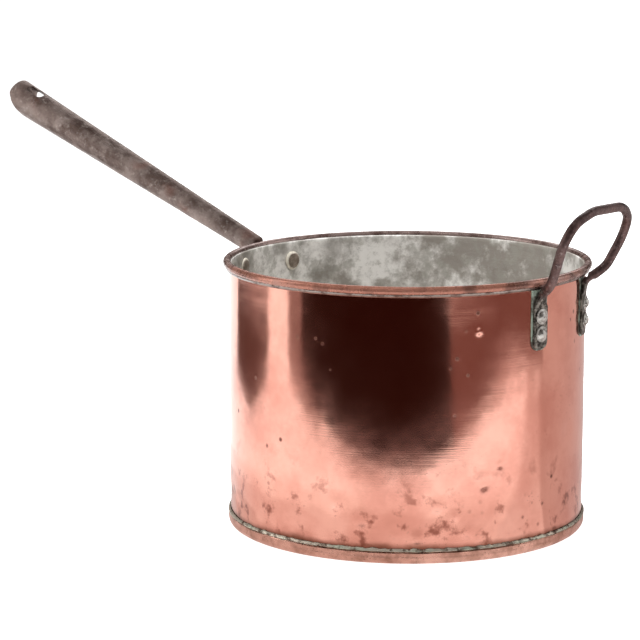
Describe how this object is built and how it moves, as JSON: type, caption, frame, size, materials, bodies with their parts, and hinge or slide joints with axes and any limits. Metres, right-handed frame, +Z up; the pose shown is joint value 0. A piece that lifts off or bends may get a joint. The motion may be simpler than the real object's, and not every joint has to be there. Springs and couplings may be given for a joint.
{
  "type": "saucepan",
  "caption": "Deep straight-sided copper saucepan with a wired rim, tinned inside, a long riveted iron handle and a looped iron helper handle.",
  "frame": {"origin": "middle of the base, on the surface the pan stands on", "axes": "+Z up along the pot's axis; the long handle points along -X and the helper handle faces it near +X"},
  "size_m": [0.5227, 0.2628, 0.2997],
  "materials": {
    "copper": "worn polish",
    "tin": "wiped tin, dull",
    "iron": "forged, rust-brown",
    "rivets": "tinned iron rivets, worn"
  },
  "bodies": {
    "root": {"base_pan": "copper", "pot_wall": "copper", "rim_wire": "iron", "rim_solder": "tin", "seam_solder": "tin", "tin_lining": "tin", "long_handle": "iron", "long_handle_rivet_front": "rivets", "long_handle_rivet_back": "rivets", "long_handle_rivet_lower": "rivets", "helper_handle": "iron", "helper_solder_front": "tin", "helper_solder_back": "tin", "helper_rivet_front_lower": "rivets", "helper_rivet_front_upper": "rivets", "helper_rivet_back_lower": "rivets", "helper_rivet_back_upper": "rivets"}
  },
  "joints": []
}
